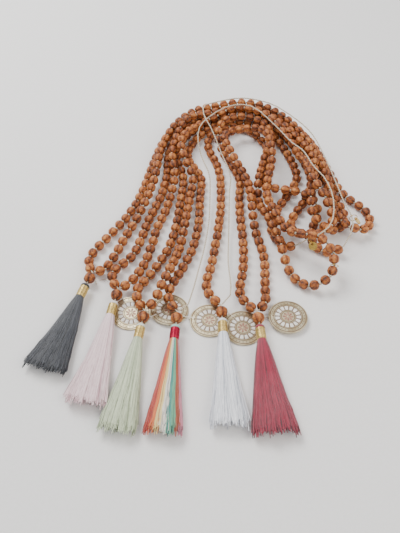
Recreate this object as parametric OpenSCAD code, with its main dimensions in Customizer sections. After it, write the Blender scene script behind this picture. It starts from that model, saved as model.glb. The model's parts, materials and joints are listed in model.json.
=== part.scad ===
// A bundle of six long mala necklaces laid out on a table. Each one is a closed loop of counting
// beads on a knotted cord, with a larger guru bead, a bound thread tassel and an etched medallion.
// Every loop leaves its guru bead, runs to the back, bends over a common arch and returns.
// Units are millimetres, +Z is up, Z = 0 is the table and the tassels point towards -Y.

/* [Beads] */
// Diameter of a counting bead
bead_d = 7.7; // [6.2:0.1:9.4]
// Diameter of the guru bead that closes each loop
guru_d = 8.6; // [7:0.1:10.5]
// Bore through every bead
bore_d = 1.8; // [1.7:0.1:2.4]
// Most counting beads on one mala
beads_per_mala = 108; // [54:1:108]
// Least free cord between two neighbouring beads
least_gap = 0.3; // [0.3:0.1:1]

/* [Cord] */
// Diameter of the stringing cord
cord_d = 1.0; // [0.8:0.1:1.2]
// Free cord between the guru bead and the place where the strand forks
fork_gap = 1.2; // [1:0.1:3]
// Diameter of the thin thread that ties a medallion on
thread_d = 0.6; // [0.4:0.1:0.7]

/* [Tassels] */
// Free cord between the guru bead and the tassel's cap
neck_gap = 1.6; // [1.4:0.1:3]
// Length of the thread cap at the head of a tassel
cap_h = 3.0; // [2:0.5:5]
// Diameter of the bound collar under the cap
collar_d = 6.5; // [5:0.5:8]
// Length of the bound collar
collar_h = 9; // [6:0.5:14]
// Thickness of the loose threads at their cut end
skirt_t = 9.5; // [7:0.5:12]
// Share of the drawn length that the loose threads keep
skirt_scale = 1; // [0.8:0.01:1.25]

/* [Medallions] */
// Diameter of the round medallion
medallion_d = 27.4; // [22:0.2:33]
// Thickness of its sheet
medallion_t = 0.9; // [0.6:0.1:1.4]
// Hole for the thread
medallion_hole = 1.8; // [1.5:0.1:2.4]
// Distance from the rim to the middle of the hole
hole_inset = 3.4; // [2.5:0.1:5]

/* [Tags] */
// Diameter of the small round tags
tag_d = 6.5; // [5:0.5:8]
// Thickness of a tag
tag_t = 0.6; // [0.4:0.1:0.9]
// Wire of the ring that holds a tag
ring_wire = 0.5; // [0.4:0.1:0.6]

/* [Layout] */
// Size of the laid-out loops in plan, where 1 is as drawn
spread = 1; // [0.83:0.01:1.25]
// Free height between two strands that lie on each other
pile_gap = 0.2; // [0.15:0.05:0.5]
// Steepest rise of a strand that climbs over another, as height over length
climb = 0.45; // [0.3:0.05:0.6]
// Angle of the first bead either side of the guru bead's axis
fork = 43; // [40:1:55]

/* [Hidden] */

fine = 64;
wire_fine = 32;
bead_r = bead_d / 2;
guru_r = guru_d / 2;
medallion_r = medallion_d / 2;
wood = [0.72, 0.44, 0.2];
gold = [0.85, 0.68, 0.25];
champagne = [0.86, 0.8, 0.62];

// The plan below is drawn from here, and the origin is moved to the middle of the whole layout
middle = [3, 12];
function placed(p) = spread * (p - middle);

// Middle of each guru bead in plan
guru_at = [[-89, -37], [-68, -53], [-48, -72], [-25, -73], [6, -67], [31, -73]];
// Way from the tassel to the guru bead, as a turn from +X
up_angle = [74, 81, 82, 85.5, 92, 94];
// Length and width of the loose threads of each tassel
skirt_len = [58, 64, 63, 63, 64, 63];
skirt_w = [29, 26, 24, 24, 24, 29];
// Middle of each medallion in plan, the way from there to its hole, and how high its hole side lies
medallion_at = [[-78.5, -46.5], [-57.5, -64.5], [-30.7, -61.5], [-2.5, -70.5], [20.5, -77], [52, -69]];
hole_angle = [124, 120, 212, 173, 130, 176];
hole_lift = [1, 1.6, 1.9, 1, 1.9, 1];
// Bead at which each strand starts its way back
turn_bead = [54, 55, 51, 54, 52, 54];

// Points that each strand passes through, from left of its guru bead round to the right of it
route = [
  [[-91, -12], [-80, 6], [-68, 26], [-59, 48], [-53, 74], [-48, 98], [-43, 118], [-34, 138],
   [-21, 155], [-2, 168], [26, 175], [48, 172], [64, 160], [88, 124], [100, 84], [105, 62],
   [113, 47], [122, 38], [126, 24], [120, 12], [108, 9], [99, 20], [96, 38], [96, 62], [90, 103],
   [73, 141], [60, 157], [46, 167], [26, 171], [0, 164], [-18, 152], [-31, 135], [-40, 115],
   [-44, 96], [-46, 74], [-51, 50], [-58, 28], [-66, 8], [-73, -13]],
  [[-72, -28], [-59, -12], [-49, 26], [-42, 48], [-37, 74], [-37, 95], [-35, 114], [-28, 133],
   [-16, 149], [2, 160], [28, 167], [45, 164], [58, 154], [70, 138], [80, 120], [87, 101],
   [97, 64], [102, 47], [106, 31], [102, 17], [91, 10], [80, 16], [78, 33], [84, 62], [87, 80],
   [83, 100], [67, 136], [55, 151], [43, 160], [27, 162], [3, 156], [-14, 145], [-25, 131],
   [-33, 95], [-30, 72], [-36, 36], [-42, 18], [-46, -4], [-51, -24]],
  [[-54, -47], [-42, -26], [-33, -6], [-28, 16], [-25, 44], [-23, 74], [-29, 95], [-28, 112],
   [-22, 128], [-11, 142], [4, 152], [27, 158], [41, 156], [53, 147], [73, 117], [84, 80],
   [82, 60], [74, 42], [64, 26], [62, 10], [73, 0], [87, 3], [93, 18], [79, 54],
   [79, 77], [69, 114], [50, 144], [27, 154], [6, 148], [-9, 138], [-24, 110], [-24, 92],
   [-15, 72], [-17, 50], [-20, 24], [-24, -4], [-31, -34], [-37, -50]],
  [[-31, -48], [-22, -26], [-14, -4], [-10, 22], [-9, 48], [-8, 74], [-18, 94], [-19, 110],
   [-6, 135], [8, 145], [25, 150], [41, 147], [57, 128], [65, 113], [73, 78], [67, 60],
   [49, 28], [47, 10], [56, -5], [71, -8], [84, -4], [91, 8], [92, 26], [88, 44],
   [80, 60], [72, 95], [57, 124], [38, 146], [24, 149], [8, 144], [-6, 133], [-11, 114],
   [-6, 92], [-1, 72], [-1, 46], [-2, 22], [-5, -2], [-10, -28], [-14, -48]],
  [[-5, -42], [0, -20], [7, 28], [8, 52], [8, 76], [4, 96], [-2, 112], [0, 128],
   [10, 138], [26, 141], [38, 136], [52, 106], [45, 68], [50, 54], [73, 48], [82, 41],
   [85, 28], [78, 14], [77, 0], [86, -10], [99, -8], [106, 3], [107, 18], [101, 48],
   [95, 86], [86, 120], [63, 152], [47, 163], [28, 168], [8, 162], [-5, 148], [-5, 130],
   [3, 112], [16, 76], [15, 52], [13, 4], [12, -20], [13, -44]],
  [[19, -48], [23, -26], [24, 0], [23, 26], [23, 50], [24, 74], [9, 112], [8, 130],
   [18, 144], [34, 148], [48, 140], [54, 121], [48, 98], [42, 76], [38, 54], [40, 34],
   [47, 12], [52, -10], [57, -30], [68, -43], [83, -41], [88, -26], [78, -13], [63, -9],
   [54, 4], [44, 42], [51, 82], [51, 102], [47, 119], [35, 131], [20, 127], [12, 110],
   [26, 74], [31, 56], [32, 36], [34, 12], [39, -14], [38, -42]]
];

// ---- plan of a strand ----

function turned(v, a) = [v.x * cos(a) - v.y * sin(a), v.x * sin(a) + v.y * cos(a)];
function heading(a) = [cos(a), sin(a)];
function up(m) = heading(up_angle[m]);
function guru_xy(m) = placed(guru_at[m]);

// The cord forks just outside the guru bead's bore
fork_off = guru_r + fork_gap;
function fork_xy(m) = guru_xy(m) + fork_off * up(m);

// The first and the last bead stand side by side, and a knot follows each of them
lead = (bead_r + pile_gap / 2) / sin(fork);
half_pitch = (bead_d + 2 * least_gap) / 2;
function first_xy(m, side) = fork_xy(m) + lead * turned(up(m), side * fork);
function knot_xy(m, side) = fork_xy(m) + (lead + half_pitch) * turned(up(m), side * fork);

// A smooth curve through the route's points, in equal steps of arc length
steps = 14;
function curve_point(p, i, t) = 0.5 * (2 * p[i] + (p[i + 1] - p[i - 1]) * t
  + (2 * p[i - 1] - 5 * p[i] + 4 * p[i + 1] - p[i + 2]) * t * t
  + (3 * p[i] - p[i - 1] - 3 * p[i + 1] + p[i + 2]) * t * t * t);
function with_ends(p) = concat([2 * p[0] - p[1]], p, [2 * p[len(p) - 1] - p[len(p) - 2]]);
function curve(p) = let (q = with_ends(p)) concat(
  [for (i = [1:len(q) - 3]) for (k = [0:steps - 1]) curve_point(q, i, k / steps)],
  [p[len(p) - 1]]);
function run_lengths(c) = [for (i = 0, s = 0; i < len(c);
  s = s + (i + 1 < len(c) ? norm(c[i + 1] - c[i]) : 0), i = i + 1) s];
function at_length(c, s, want, i) = i >= len(c) - 1 ? c[len(c) - 1]
  : let (t = (want - s[i]) / (s[i + 1] - s[i])) c[i] + t * (c[i + 1] - c[i]);
function even_points(c, s, n) = let (total = s[len(s) - 1]) [for (k = 0, i = 0; k <= n;
  k = k + 1, i = next_index(s, i, total * k / n)) at_length(c, s, total * k / n, i)];
function next_index(s, i, want) = i < len(s) - 2 && s[i + 1] < want ? next_index(s, i + 1, want) : i;

function strand_curve(m) = curve(concat([knot_xy(m, 1)], [for (p = route[m]) placed(p)], [knot_xy(m, -1)]));
function strand_knots(m) = let (c = strand_curve(m), s = run_lengths(c),
  fit = floor(s[len(s) - 1] / (bead_d + least_gap))) even_points(c, s, min(beads_per_mala - 2, fit));
knots = [for (m = [0:5]) strand_knots(m)];
function bead_plan(m) = let (k = knots[m], n = len(k)) concat([first_xy(m, 1)],
  [for (i = [0:n - 2]) (k[i] + k[i + 1]) / 2], [first_xy(m, -1)]);
plan = [for (m = [0:5]) bead_plan(m)];
function count(m) = len(plan[m]);
function turn_at(m) = min(round(turn_bead[m] * count(m) / beads_per_mala), count(m) - 2);

// ---- heights ----

hole_at_r = medallion_r - hole_inset;
function medallion_xy(m) = placed(medallion_at[m]);
// Highest point of a tilted medallion, which keeps what lies on it clear
function medallion_top(m) = hole_lift[m] * medallion_d / (medallion_r + hole_at_r) + medallion_t + 0.15;
function rest_height(p, r) = max([r, for (m = [0:5])
  norm(p - medallion_xy(m)) < medallion_r + 2.5 ? medallion_top(m) + r : r]);

touch_d = bead_d + pile_gap;
function over(p, below) = max([0, for (b = below) let (dx = p.x - b.x, dy = p.y - b.y)
  if (abs(dx) < touch_d && abs(dy) < touch_d && dx * dx + dy * dy < touch_d * touch_d)
  b.z + sqrt(touch_d * touch_d - dx * dx - dy * dy)]);
function needed(ps, below) = [for (p = ps) max(rest_height(p, bead_r), over(p, below))];
// The strand rises and falls no faster than its climb, and stays up for one bead each way
function eased(h, pitch, far) = [for (i = [0:len(h) - 1]) max([for (j = [max(0, i - far):min(len(h) - 1, i + far)])
  h[j] - max(0, abs(i - j) - 1) * climb * pitch])];
function from_tip(h, z, pitch) = [for (i = [0:len(h) - 1]) max(h[i], z - i * climb * pitch)];
// A bead settles on the straight cord between the two knots beside it
function settled(h, before) = [for (i = [0:len(h) - 1])
  ((i > 0 ? h[i - 1] : before) + 2 * h[i] + h[min(i + 1, len(h) - 1)]) / 4];

pitch = bead_d + 2 * least_gap;
reach = 10;
function part_of(v, a, b) = [for (i = [a:b - 1]) v[i]];
function going(m) = part_of(plan[m], 0, turn_at(m));
function coming(m) = part_of(plan[m], turn_at(m), count(m));
function line_out(m, below) = eased(needed(going(m), below), pitch, reach);
function line_back(m, below, tip) = from_tip(eased(needed(coming(m), below), pitch, reach), tip, pitch);
function raised(ps, zs) = [for (i = [0:len(ps) - 1]) [ps[i].x, ps[i].y, zs[i]]];

// All six strands go out first, then each comes back over what already lies there
function lay_out(m, lines, all) = m > 5 ? [lines, all]
  : let (h = line_out(m, all))
    lay_out(m + 1, concat(lines, [h]), concat(all, raised(going(m), settled(h, h[0]))));
function lay_back(m, out, lines, all) = m > 5 ? lines
  : let (o = out[m], tip = o[len(o) - 1], h = line_back(m, all, tip))
    lay_back(m + 1, out, concat(lines, [concat(o, h)]), concat(all, raised(coming(m), settled(h, tip))));
function flat(v) = [for (a = v) for (b = a) b];
outward = lay_out(0, [], []);
line_z = lay_back(0, outward[0], [], outward[1]);

function guru_z(m) = rest_height(guru_xy(m), guru_r);
function guru_mid(m) = [guru_xy(m).x, guru_xy(m).y, guru_z(m)];
function fork_point(m) = [fork_xy(m).x, fork_xy(m).y, guru_z(m)];
function knot_point(m, i) = let (h = line_z[m], k = knots[m][i]) [k.x, k.y, (h[i] + h[i + 1]) / 2];
function knot_points(m) = [for (i = [0:len(knots[m]) - 1]) knot_point(m, i)];
// The cord runs straight from knot to knot through each bead, so a bead sits on that line
function end_bead(m, knot) = let (f = fork_point(m)) f + (knot - f) * lead / (lead + half_pitch);
function bead_mid(m, i) = i == 0 ? end_bead(m, knot_point(m, 0))
  : i == count(m) - 1 ? end_bead(m, knot_point(m, count(m) - 2))
  : (knot_point(m, i - 1) + knot_point(m, i)) / 2;
function bead_way(m, i) = i == 0 ? knot_point(m, 0) - fork_point(m)
  : i == count(m) - 1 ? fork_point(m) - knot_point(m, count(m) - 2)
  : knot_point(m, i) - knot_point(m, i - 1);

// ---- shared shapes ----

module along(at, v) {
  translate(at) rotate([0, acos(v.z / norm(v)), atan2(v.y, v.x)]) children();
}

module rod(a, b, d, facets) {
  along(a, b - a) cylinder(h = norm(b - a), d = d, $fn = facets);
}

module drilled_ball(at, way, d) {
  along(at, way) difference() {
    sphere(d = d, $fn = fine);
    cylinder(h = 2 * d, d = bore_d, center = true, $fn = fine);
  }
}

// Places a piece on a tassel's axis, which runs from the guru bead out along +X here
module on_tassel(m, off) {
  translate(guru_mid(m)) rotate([0, 0, up_angle[m] + 180]) translate([off, 0, 0]) children();
}

// ---- strands ----

module mala_beads(m) {
  for (i = [1:count(m) - 1]) color(wood) drilled_ball(bead_mid(m, i), bead_way(m, i), bead_d);
}

module mala_first_bead(m) {
  color(wood) drilled_ball(bead_mid(m, 0), bead_way(m, 0), bead_d);
}

module mala_guru(m) {
  color(wood) drilled_ball(guru_mid(m), concat(up(m), [0]), guru_d);
}

// The cord runs from the tassel through the guru bead, round all the knots and back to the fork
cord_sides = 8;
function unit(v) = v / norm(v);
function neck_end(m) = guru_mid(m) - (guru_r + neck_gap / 2 - 0.1) * concat(up(m), [0]);
function cord_line(m) = let (f = fork_point(m), ks = knot_points(m), last = ks[len(ks) - 1])
  concat([neck_end(m), f], ks, [f + 1.15 * cord_d * unit(last - f)]);
function cord_way(p, i) = i == 0 ? p[1] - p[0]
  : i == len(p) - 1 ? p[i] - p[i - 1]
  : unit(p[i + 1] - p[i]) + unit(p[i] - p[i - 1]);
// A ring of a thin tube round the line through at, with level as a direction that the line never takes
function tube_ring(at, way, d, level) = let (w = unit(way), side = unit(cross(level, w)), other = cross(w, side))
  [for (k = [0:cord_sides - 1]) let (a = 360 * k / cord_sides)
    at + d / 2 * (cos(a) * side + sin(a) * other)];
function tube_points(line, d, level) =
  flat([for (i = [0:len(line) - 1]) tube_ring(line[i], cord_way(line, i), d, level)]);

// Walls and ends of a tube whose points are given ring by ring
function tube_faces(rings, n) = concat(
  [for (s = [0:rings - 2]) for (k = [0:n - 1]) let (next = (k + 1) % n)
    [s * n + k, (s + 1) * n + k, (s + 1) * n + next, s * n + next]],
  [[for (k = [0:n - 1]) k], [for (k = [n - 1:-1:0]) (rings - 1) * n + k]]);

module mala_cord(m) {
  line = cord_line(m);
  color("wheat")
    polyhedron(tube_points(line, cord_d, [0, 0, 1]), tube_faces(len(line), cord_sides), convexity = 20);
}

// ---- medallions ----

tilt_run = medallion_r + hole_at_r;
function tilt(m) = asin(hole_lift[m] / tilt_run);
// A point over or under a medallion, r out from its middle towards its hole
function by_medallion(m, r, z) = let (p = medallion_xy(m) + r * heading(hole_angle[m])) [p.x, p.y, z];
thread_r = thread_d / 2;
slack = 0.2;
loop_r = medallion_r + thread_r + 3 * slack;
function under_z(m, r) = hole_lift[m] * (medallion_r + r) / tilt_run;
function loop_low(m) = under_z(m, hole_at_r) - thread_r - slack;
function loop_high(m) = under_z(m, medallion_r) + medallion_t + thread_r + slack;

// The thin thread drops from the fork and runs to the medallion's rim, where it loops the hole
function tie_points(m) = let (f = fork_point(m))
  [f - [0, 0, cord_d / 2 + thread_r + slack],
    [f.x, f.y, min(f.z - 1, loop_high(m) + 0.4)], by_medallion(m, loop_r, loop_high(m))];
function tie_loop(m) = [
  by_medallion(m, loop_r, loop_high(m)), by_medallion(m, hole_at_r, loop_high(m)),
  by_medallion(m, hole_at_r, loop_low(m)), by_medallion(m, loop_r, loop_low(m)),
  by_medallion(m, loop_r, loop_high(m) - 1.5 * thread_d)];

module mala_tie(m) {
  line = concat(tie_points(m), part_of(tie_loop(m), 1, 5));
  sideways = [-sin(hole_angle[m]), cos(hole_angle[m]), 0];
  color("wheat")
    polyhedron(tube_points(line, thread_d, sideways), tube_faces(len(line), cord_sides), convexity = 6);
}

// The disc stands on the edge of its rim opposite the hole
module mala_medallion(m) {
  edge = medallion_xy(m) - medallion_r * heading(hole_angle[m]);
  color(champagne) translate([edge.x, edge.y, 0]) rotate([0, 0, hole_angle[m]]) rotate([0, -tilt(m), 0])
    difference() {
      translate([medallion_r, 0, 0]) cylinder(h = medallion_t, d = medallion_d, $fn = 128);
      translate([medallion_r + hole_at_r, 0, -1])
        cylinder(h = medallion_t + 2, d = medallion_hole, $fn = fine);
    }
}

// ---- tassels ----

cap_off = guru_r + neck_gap / 2 + 0.1;
collar_off = guru_r + neck_gap + cap_h;
skirt_off = collar_off + collar_h;
collar_r = collar_d / 2;
cap_colour = ["#101114", "#f2ece8", "#cfd6bd", "#9fd0bf", "#f5f5f5", "#8a1430"];
collar_colour = [gold, gold, gold, [0.7, 0.1, 0.22], gold, gold];
skirt_colour = ["#15171b", "#f0dfe1", "#c3d2a8", "#d89a4a", "#eef1f5", "#8f1530"];

// A domed head with a short thread neck, so that it can turn up close to the guru bead
module mala_cap(m) {
  neck = neck_gap / 2 - 0.1;
  color(cap_colour[m]) on_tassel(m, cap_off) rotate([0, 90, 0]) rotate_extrude($fn = fine)
    polygon(concat([[0, 0], [cord_d / 2, cord_d / 2], [cord_d / 2, neck]],
      [for (a = [10:10:90]) [cord_d / 2 + (collar_r - cord_d / 2 - 0.1) * sin(a),
        neck + cap_h * 0.8 * (1 - cos(a))]],
      [[collar_r - 0.1, neck + cap_h], [0, neck + cap_h]]));
}

// The collar is wound metallic thread, a plain barrel with eased ends
module mala_collar(m) {
  ease = 0.4;
  color(collar_colour[m]) on_tassel(m, collar_off) rotate([0, 90, 0]) rotate_extrude($fn = fine)
    polygon([[0, 0], [collar_r - ease, 0], [collar_r, ease],
      [collar_r, collar_h - ease], [collar_r - ease, collar_h], [0, collar_h]]);
}

// The loose threads fan out, and sink from the collar's height to lie flat on the table
stations = 8;
around = 24;
lie = 0.8;
function ease01(t) = t <= 0 ? 0 : t >= 1 ? 1 : t * t * (3 - 2 * t);
function skirt_ring(m, t) = let (
    r0 = collar_r - 0.3,
    half = r0 + (skirt_w[m] / 2 - r0) * pow(t, 0.85),
    thick = r0 + (skirt_t / 2 - r0) * ease01(t),
    low = (1 - ease01(t / 0.55)) * (guru_z(m) - r0))
  [for (k = [0:around - 1]) let (a = 360 * k / around)
    [t * skirt_len[m] * skirt_scale, half * cos(a),
      low - guru_z(m) + 2 * thick * (max(sin(a), -lie) + lie) / (1 + lie)]];
module mala_skirt(m) {
  points = flat([for (s = [0:stations]) skirt_ring(m, s / stations)]);
  color(skirt_colour[m]) on_tassel(m, skirt_off) polyhedron(points, tube_faces(stations + 1, around), convexity = 4);
}

// ---- tags ----

// Strand, knot, side of the strand and angle below level of each tag
tag_spots = [[4, 54, -1, 40], [5, 57, -1, 84], [3, 54, -1, 48]];
ring_r = 2.9;
ring_gap = 0.5;
wrap_r = cord_d / 2 + ring_wire / 2 + ring_gap;
ring_mid = ring_r - wrap_r;
tag_hole = 1.5;
tag_hole_x = ring_mid + ring_r + 0.15;
tag_mid_x = tag_hole_x + tag_d / 2 - tag_hole;
function tag_knot(s) = knot_point(s[0], s[1]);
function tag_line(s) = knot_point(s[0], s[1] + 1) - knot_point(s[0], s[1] - 1);

// The ring goes round the cord at a knot, and +X points from there to the tag
module on_tag(k) {
  s = tag_spots[k];
  along(tag_knot(s), tag_line(s)) rotate([0, 0, s[2] * (90 - s[3])]) children();
}

module tag(k) {
  color(gold) on_tag(k) rotate([90, 0, 0]) difference() {
    translate([tag_mid_x, 0, 0]) cylinder(h = tag_t, d = tag_d, center = true, $fn = fine);
    translate([tag_hole_x, 0, 0]) cylinder(h = 3 * tag_t, d = tag_hole, center = true, $fn = fine);
  }
}

module tag_ring(k) {
  color(gold) on_tag(k) translate([ring_mid, 0, 0])
    rotate_extrude($fn = fine) translate([ring_r, 0]) circle(d = ring_wire, $fn = wire_fine);
}

// ---- all pieces ----

BLACK = 0;
BLUSH = 1;
SAGE = 2;
RAINBOW = 3;
WHITE = 4;
BURGUNDY = 5;

mala_beads(BLACK);  // black_beads
mala_first_bead(BLACK);  // black_first_bead
mala_cord(BLACK);  // black_cord
mala_guru(BLACK);  // black_guru
mala_cap(BLACK);  // black_cap
mala_collar(BLACK);  // black_collar
mala_skirt(BLACK);  // black_skirt
mala_medallion(BLACK);  // black_medallion
mala_tie(BLACK);  // black_tie
mala_beads(BLUSH);  // blush_beads
mala_first_bead(BLUSH);  // blush_first_bead
mala_cord(BLUSH);  // blush_cord
mala_guru(BLUSH);  // blush_guru
mala_cap(BLUSH);  // blush_cap
mala_collar(BLUSH);  // blush_collar
mala_skirt(BLUSH);  // blush_skirt
mala_medallion(BLUSH);  // blush_medallion
mala_tie(BLUSH);  // blush_tie
mala_beads(SAGE);  // sage_beads
mala_first_bead(SAGE);  // sage_first_bead
mala_cord(SAGE);  // sage_cord
mala_guru(SAGE);  // sage_guru
mala_cap(SAGE);  // sage_cap
mala_collar(SAGE);  // sage_collar
mala_skirt(SAGE);  // sage_skirt
mala_medallion(SAGE);  // sage_medallion
mala_tie(SAGE);  // sage_tie
mala_beads(RAINBOW);  // rainbow_beads
mala_first_bead(RAINBOW);  // rainbow_first_bead
mala_cord(RAINBOW);  // rainbow_cord
mala_guru(RAINBOW);  // rainbow_guru
mala_cap(RAINBOW);  // rainbow_cap
mala_collar(RAINBOW);  // rainbow_collar
mala_skirt(RAINBOW);  // rainbow_skirt
mala_medallion(RAINBOW);  // rainbow_medallion
mala_tie(RAINBOW);  // rainbow_tie
mala_beads(WHITE);  // white_beads
mala_first_bead(WHITE);  // white_first_bead
mala_cord(WHITE);  // white_cord
mala_guru(WHITE);  // white_guru
mala_cap(WHITE);  // white_cap
mala_collar(WHITE);  // white_collar
mala_skirt(WHITE);  // white_skirt
mala_medallion(WHITE);  // white_medallion
mala_tie(WHITE);  // white_tie
mala_beads(BURGUNDY);  // burgundy_beads
mala_first_bead(BURGUNDY);  // burgundy_first_bead
mala_cord(BURGUNDY);  // burgundy_cord
mala_guru(BURGUNDY);  // burgundy_guru
mala_cap(BURGUNDY);  // burgundy_cap
mala_collar(BURGUNDY);  // burgundy_collar
mala_skirt(BURGUNDY);  // burgundy_skirt
mala_medallion(BURGUNDY);  // burgundy_medallion
mala_tie(BURGUNDY);  // burgundy_tie
tag(0);  // tag_1
tag_ring(0);  // tag_ring_1
tag(1);  // tag_2
tag_ring(1);  // tag_ring_2
tag(2);  // tag_3
tag_ring(2);  // tag_ring_3
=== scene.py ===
import json
import math
import random

import bpy
import numpy as np
from mathutils import Matrix, Vector


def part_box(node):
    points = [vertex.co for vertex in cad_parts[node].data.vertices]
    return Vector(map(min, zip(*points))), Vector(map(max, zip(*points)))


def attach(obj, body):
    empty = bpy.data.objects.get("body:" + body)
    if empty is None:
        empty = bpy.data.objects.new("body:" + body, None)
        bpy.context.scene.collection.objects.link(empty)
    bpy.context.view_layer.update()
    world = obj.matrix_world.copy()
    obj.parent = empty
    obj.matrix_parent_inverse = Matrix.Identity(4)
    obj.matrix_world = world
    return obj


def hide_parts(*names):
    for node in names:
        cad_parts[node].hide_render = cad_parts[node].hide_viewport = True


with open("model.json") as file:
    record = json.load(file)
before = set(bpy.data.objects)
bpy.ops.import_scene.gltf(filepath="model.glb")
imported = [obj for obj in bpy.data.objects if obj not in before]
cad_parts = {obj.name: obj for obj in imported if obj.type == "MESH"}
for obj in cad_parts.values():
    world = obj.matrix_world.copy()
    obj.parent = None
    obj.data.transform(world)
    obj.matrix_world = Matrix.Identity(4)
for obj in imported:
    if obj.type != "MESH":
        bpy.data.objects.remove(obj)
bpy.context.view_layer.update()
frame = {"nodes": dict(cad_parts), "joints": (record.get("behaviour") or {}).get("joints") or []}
MM = 0.001
MALAS = ["black", "blush", "sage", "rainbow", "white", "burgundy"]
joints = {j["name"]: j for j in frame["joints"]}

# Steps from bead to bead along a strand: the usual one, the longest that is followed, and the weight of a
# step's length against its direction
USUAL_STEP = 8.3 * MM
LONGEST_STEP = 9.6 * MM
STEP_WEIGHT = 6 * MM


# ---- reading the frame ----

def corners(node):
    """The node's triangles as an array of corner positions, (triangles, 3, 3)."""
    mesh = frame["nodes"][node].data
    mesh.calc_loop_triangles()
    points = np.empty(len(mesh.vertices) * 3)
    mesh.vertices.foreach_get("co", points)
    index = np.empty(len(mesh.loop_triangles) * 3, dtype=int)
    mesh.loop_triangles.foreach_get("vertices", index)
    return points.reshape(-1, 3)[index].reshape(-1, 3, 3)


def solids(tri):
    """Splits triangles into connected solids by their shared corners."""
    keys = np.round(tri.reshape(-1, 3) * 1e7).astype(np.int64)
    _, ids = np.unique(keys, axis=0, return_inverse=True)
    ids = ids.reshape(-1, 3)
    label = np.arange(ids.max() + 1)
    while True:
        low = label[ids].min(axis=1)
        before = label.copy()
        for k in range(3):
            np.minimum.at(label, ids[:, k], low)
        label = label[label]
        if (before == label).all():
            break
    of_triangle = label[ids[:, 0]]
    return [tri[of_triangle == name] for name in np.unique(of_triangle)]


def ball_and_bore(tri):
    """Centre, bore axis and radius of one drilled ball."""
    p = tri.reshape(-1, 3)
    fit = np.linalg.lstsq(np.c_[2 * p, np.ones(len(p))], (p ** 2).sum(axis=1), rcond=None)[0]
    centre = fit[:3]
    radius = math.sqrt(max(fit[3] + centre @ centre, 0))
    normal = np.cross(tri[:, 1] - tri[:, 0], tri[:, 2] - tri[:, 0])
    inner = np.linalg.norm(tri.mean(axis=1) - centre, axis=1) < 0.8 * radius
    bore = normal[inner]
    bore = bore / np.maximum(np.linalg.norm(bore, axis=1, keepdims=True), 1e-20)
    _, vectors = np.linalg.eigh(bore.T @ bore)
    return centre, vectors[:, 0], radius


def in_order(balls, start, way):
    """Follows the strand from its first bead, always to the bead that lies straightest ahead.

    It stops where no bead is left within LONGEST_STEP. On rainbow and white that is already at the turn, so
    their other beads are left out.
    """
    at, left, chain = start, list(range(len(balls))), []
    while left:
        best, best_cost = None, math.inf
        for i in left:
            step = balls[i][0] - at
            far = np.linalg.norm(step)
            if far > LONGEST_STEP:
                continue
            cost = (1 - step @ way / far) + abs(far - USUAL_STEP) / STEP_WEIGHT
            if cost < best_cost:
                best, best_cost = i, cost
        if best is None:
            break
        left.remove(best)
        centre, axis, radius = balls[best]
        way = axis if axis @ (centre - at) > 0 else -axis
        chain.append((centre, way, radius))
        at = centre
    return chain


def strand(name):
    """Beads 2 to 108 of a mala in order, each as centre, way and radius, and the knots between."""
    first = joints[name + "_first_bead_spin"]
    start = np.array(first["pos_m"])
    way = np.array(first["axis"])
    way = way / np.linalg.norm(way)
    balls = [ball_and_bore(s) for s in solids(corners(name + "_beads"))]
    chain = in_order(balls, start, way)
    full = [(start, way, chain[0][2])] + chain
    knots = []
    for (a, u, _), (b, v, _) in zip(full, full[1:]):
        # the knot sits where the two beads' lines come nearest to meeting
        half = np.linalg.norm(b - a) / 2 / max(math.sqrt((1 + u @ v) / 2), 0.7)
        knots.append(((a + u * half + b - v * half) / 2, (u + v) / np.linalg.norm(u + v)))
    return full, knots


# ---- small helpers ----

def rgb(code):
    """An sRGB hex colour as linear RGBA."""
    channels = [int(code[i:i + 2], 16) / 255 for i in (1, 3, 5)]
    return [c / 12.92 if c <= 0.04045 else ((c + 0.055) / 1.055) ** 2.4 for c in channels] + [1]


def node(tree, kind, links=None, **settings):
    """Adds a node. Settings are its properties or, where there is none, its inputs' defaults."""
    made = tree.nodes.new(kind)
    for name, value in settings.items():
        if hasattr(made, name):
            setattr(made, name, value)
        else:
            made.inputs[name.replace("_", " ")].default_value = value
    for name, source in (links or {}).items():
        tree.links.new(source, made.inputs[name])
    return made


def new_material(name):
    mat = bpy.data.materials.new(name)
    mat.use_nodes = True
    tree = mat.node_tree
    tree.nodes.clear()
    out = tree.nodes.new("ShaderNodeOutputMaterial")
    shader = tree.nodes.new("ShaderNodeBsdfPrincipled")
    tree.links.new(shader.outputs[0], out.inputs[0])
    return mat, tree, shader


def ramp(tree, source, stops):
    """A colour for each value of source, from stops of (place, sRGB hex colour)."""
    made = node(tree, "ShaderNodeValToRGB", {0: source})
    bar = made.color_ramp
    while len(bar.elements) < len(stops):
        bar.elements.new(0.5)
    for element, (place, code) in zip(bar.elements, stops):
        element.position = place
        element.color = rgb(code)
    return made.outputs[0]


def add_bump(tree, shader, height, depth_mm, strength):
    bump = node(tree, "ShaderNodeBump", {"Height": height}, Distance=depth_mm * MM, Strength=strength)
    tree.links.new(bump.outputs[0], shader.inputs["Normal"])


def per_mm(spacing):
    """Texture scale whose cells repeat about every spacing millimetres."""
    return 1 / (spacing * MM)


def linked(name, data):
    """An object for the mesh, light or camera, in the scene."""
    made = bpy.data.objects.new(name, data)
    bpy.context.scene.collection.objects.link(made)
    return made


def add_floats(mesh, attributes):
    """Gives the mesh's points each named list of numbers."""
    for key, values in attributes.items():
        mesh.attributes.new(key, "FLOAT", "POINT").data.foreach_set("value", values)


def ring_faces(steps, around):
    """Quads between rings of points, where each ring follows the last in the list."""
    faces = []
    for j in range(steps):
        for k in range(around):
            n = (k + 1) % around
            faces.append((j * around + k, (j + 1) * around + k, (j + 1) * around + n, j * around + n))
    return faces


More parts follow.
